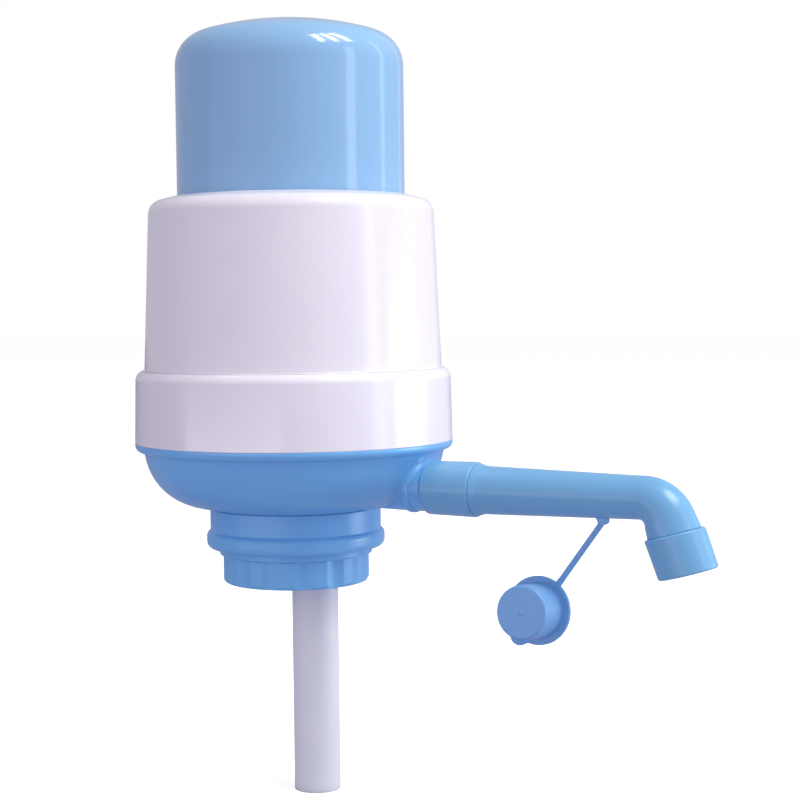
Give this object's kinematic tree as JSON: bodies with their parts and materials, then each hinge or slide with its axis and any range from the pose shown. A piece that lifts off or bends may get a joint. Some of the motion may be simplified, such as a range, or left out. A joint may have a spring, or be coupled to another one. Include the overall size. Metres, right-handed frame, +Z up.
{
  "type": "water jug hand pump",
  "caption": "Hand-pressed bellows pump for a water jug: press cap in a white sleeve, blue base, swivelling spout with plug cap on a strap, fluted neck ring and suction tube.",
  "frame": {"origin": "centre of the adapter ring's bottom face on the pump's axis, where the jug's neck enters", "axes": "+Z up the pump's axis towards the press cap, +X along the spout, +Y completes a right-handed frame"},
  "size_m": [0.2122, 0.112, 0.271],
  "materials": {
    "cap_blue": "glossy moulded, light sky blue",
    "base_blue": "glossy moulded, mid sky blue",
    "spout_blue": "satin moulded, mid sky blue",
    "strap_blue": "soft moulded, mid sky blue",
    "sleeve_white": "glossy moulded, cool white",
    "tube_natural": "extruded, milky natural",
    "inner_white": "moulded, white",
    "bellows_natural": "blow moulded, milky natural",
    "seal_rubber": "soft, translucent grey",
    "valve_rubber": "soft, red silicone",
    "steel": "bright drawn"
  },
  "bodies": {
    "base": {"base_bowl": "base_blue", "deck_plate": "inner_white", "deck_seal": "seal_rubber", "deck_screws": "steel", "outer_sleeve": "sleeve_white", "neck_collar": "base_blue", "neck_gasket": "seal_rubber", "suction_tube": "tube_natural", "tube_seal": "seal_rubber", "outlet_nipple": "base_blue", "outlet_seal": "seal_rubber", "delivery_valve": "valve_rubber", "bellows_clamp": "inner_white", "bellows": "bellows_natural", "return_spring": "steel"},
    "press": {"press_cap": "cap_blue", "bellows_head": "inner_white", "intake_valve": "valve_rubber"},
    "ring": {"adapter_ring": "base_blue"},
    "spout": {"socket_collar": "base_blue", "spout_arm": "spout_blue", "nozzle_tip": "spout_blue"},
    "strap": {"cap_strap": "strap_blue"},
    "cap": {"nozzle_cap": "strap_blue"}
  },
  "joints": [
    {"name": "press_slide", "type": "slide", "parent": "base", "child": "press", "axis": [0, 0, -1], "range_m": [0, 0.04], "stiffness_N_per_m": 350, "springref_m": -0.02, "deforming": ["bellows", "return_spring"]},
    {"name": "ring_spin", "type": "hinge", "parent": "base", "child": "ring", "pos_m": [0, 0, 0.01], "axis": [0, 0, 1], "continuous": true},
    {"name": "spout_swivel", "type": "hinge", "parent": "base", "child": "spout", "pos_m": [0.062, 0, 0.03535], "axis": [1, 0, 0], "continuous": true},
    {"name": "strap_swing", "type": "hinge", "parent": "spout", "child": "strap", "pos_m": [0.1182, 0, 0.0272], "axis": [0, 1, 0], "range_deg": [-58, 24]},
    {"name": "cap_twist", "type": "hinge", "parent": "strap", "child": "cap", "pos_m": [0.10362, 0, 0.00714], "axis": [-0.5878, 0, -0.809], "range_deg": [-90, 90]}
  ]
}
